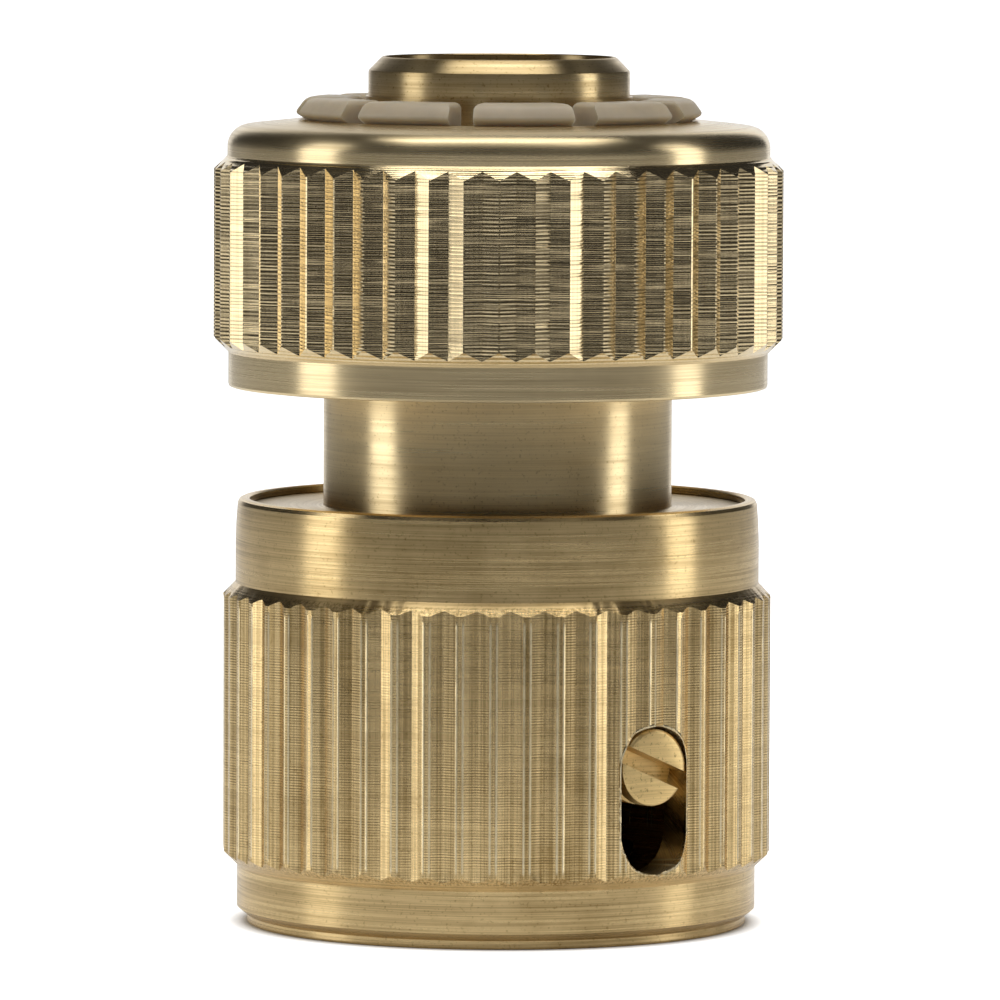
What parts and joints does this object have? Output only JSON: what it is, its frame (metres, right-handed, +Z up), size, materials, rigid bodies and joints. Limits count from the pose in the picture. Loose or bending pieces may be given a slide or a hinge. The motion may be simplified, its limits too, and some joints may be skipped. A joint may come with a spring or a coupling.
{
  "type": "hose quick connector",
  "caption": "Turned brass coupling that joins a garden hose to a push-in plug: a knurled pull-down sleeve frees the plug, and a screw clamp in a knurled shell grips the hose on a barbed tail.",
  "frame": {"origin": "centre of the shell's foot, on the surface that the connector stands on", "axes": "+Z up along the water way towards the plug socket, -Y towards the viewer of the picture, so the clamp window faces front right"},
  "size_m": [0.0404, 0.0404, 0.0617],
  "materials": {
    "shell_brass": "turned, satin",
    "body_brass": "turned, bright",
    "tail_brass": "turned",
    "sleeve_brass": "turned, satin",
    "bush_brass": "turned",
    "clamp_brass": "turned",
    "screw_brass": "turned",
    "ring_steel": "bright spring steel",
    "washer_steel": "bright",
    "spring_steel": "drawn wire",
    "shoe_steel": "pressed sheet",
    "seal_rubber": "matt black",
    "jaw_plastic": "translucent off-white moulding"
  },
  "bodies": {
    "housing": {"clamp_shell": "shell_brass", "socket_body": "body_brass", "hose_tail": "tail_brass", "tail_seal": "seal_rubber", "snap_ring": "ring_steel"},
    "spring_pack": {"spring_washer": "washer_steel", "sleeve_spring": "spring_steel"},
    "sleeve": {"release_sleeve": "sleeve_brass", "guide_bush": "bush_brass"},
    "jaw_01": {"jaw_01": "jaw_plastic"},
    "jaw_02": {"jaw_02": "jaw_plastic"},
    "jaw_03": {"jaw_03": "jaw_plastic"},
    "jaw_04": {"jaw_04": "jaw_plastic"},
    "jaw_05": {"jaw_05": "jaw_plastic"},
    "jaw_06": {"jaw_06": "jaw_plastic"},
    "jaw_07": {"jaw_07": "jaw_plastic"},
    "jaw_08": {"jaw_08": "jaw_plastic"},
    "jaw_09": {"jaw_09": "jaw_plastic"},
    "jaw_10": {"jaw_10": "jaw_plastic"},
    "clamp": {"clamp_ring": "clamp_brass"},
    "shoe": {"pressure_shoe": "shoe_steel"},
    "screw": {"clamp_screw": "screw_brass"}
  },
  "joints": [
    {"name": "sleeve_spin", "type": "hinge", "parent": "housing", "child": "spring_pack", "pos_m": [0, 0, 0.0426], "axis": [0, 0, 1], "continuous": true},
    {"name": "sleeve_slide", "type": "slide", "parent": "spring_pack", "child": "sleeve", "axis": [0, 0, 1], "range_m": [-0.004, 0], "stiffness_N_per_m": 1500, "springref_m": 0.006, "deforming": ["sleeve_spring"]},
    {"name": "jaw_01_open", "type": "slide", "parent": "housing", "child": "jaw_01", "axis": [0.0433, -0.3427, -0.9384], "range_m": [0, 0.00347]},
    {"name": "jaw_02_open", "type": "slide", "parent": "housing", "child": "jaw_02", "axis": [0.2365, -0.2518, -0.9384], "range_m": [0, 0.00347]},
    {"name": "jaw_03_open", "type": "slide", "parent": "housing", "child": "jaw_03", "axis": [0.3393, -0.0647, -0.9384], "range_m": [0, 0.00347]},
    {"name": "jaw_04_open", "type": "slide", "parent": "housing", "child": "jaw_04", "axis": [0.3126, 0.1471, -0.9384], "range_m": [0, 0.00347]},
    {"name": "jaw_05_open", "type": "slide", "parent": "housing", "child": "jaw_05", "axis": [0.1664, 0.3027, -0.9384], "range_m": [0, 0.00347]},
    {"name": "jaw_06_open", "type": "slide", "parent": "housing", "child": "jaw_06", "axis": [-0.0433, 0.3427, -0.9384], "range_m": [0, 0.00347]},
    {"name": "jaw_07_open", "type": "slide", "parent": "housing", "child": "jaw_07", "axis": [-0.2365, 0.2518, -0.9384], "range_m": [0, 0.00347]},
    {"name": "jaw_08_open", "type": "slide", "parent": "housing", "child": "jaw_08", "axis": [-0.3393, 0.0647, -0.9384], "range_m": [0, 0.00347]},
    {"name": "jaw_09_open", "type": "slide", "parent": "housing", "child": "jaw_09", "axis": [-0.3126, -0.1471, -0.9384], "range_m": [0, 0.00347]},
    {"name": "jaw_10_open", "type": "slide", "parent": "housing", "child": "jaw_10", "axis": [-0.1664, -0.3027, -0.9384], "range_m": [0, 0.00347]},
    {"name": "clamp_slide", "type": "slide", "parent": "housing", "child": "clamp", "axis": [0, 0, 1], "range_m": [-0.00456, 0]},
    {"name": "shoe_press", "type": "slide", "parent": "clamp", "child": "shoe", "axis": [-0.5764, 0.8171, 0], "range_m": [0, 0.002]},
    {"name": "screw_turn", "type": "hinge", "parent": "shoe", "child": "screw", "pos_m": [0.01, -0.01418, 0.01258], "axis": [-0.5764, 0.8171, 0], "range_deg": [0, 900.5]}
  ],
  "couplings": [
    {"joint": "jaw_01_open", "follows": "sleeve_slide", "ratio": -0.86846},
    {"joint": "jaw_02_open", "follows": "sleeve_slide", "ratio": -0.86846},
    {"joint": "jaw_03_open", "follows": "sleeve_slide", "ratio": -0.86846},
    {"joint": "jaw_04_open", "follows": "sleeve_slide", "ratio": -0.86846},
    {"joint": "jaw_05_open", "follows": "sleeve_slide", "ratio": -0.86846},
    {"joint": "jaw_06_open", "follows": "sleeve_slide", "ratio": -0.86846},
    {"joint": "jaw_07_open", "follows": "sleeve_slide", "ratio": -0.86846},
    {"joint": "jaw_08_open", "follows": "sleeve_slide", "ratio": -0.86846},
    {"joint": "jaw_09_open", "follows": "sleeve_slide", "ratio": -0.86846},
    {"joint": "jaw_10_open", "follows": "sleeve_slide", "ratio": -0.86846},
    {"joint": "screw_turn", "follows": "shoe_press", "rad_per_m": 7854}
  ]
}
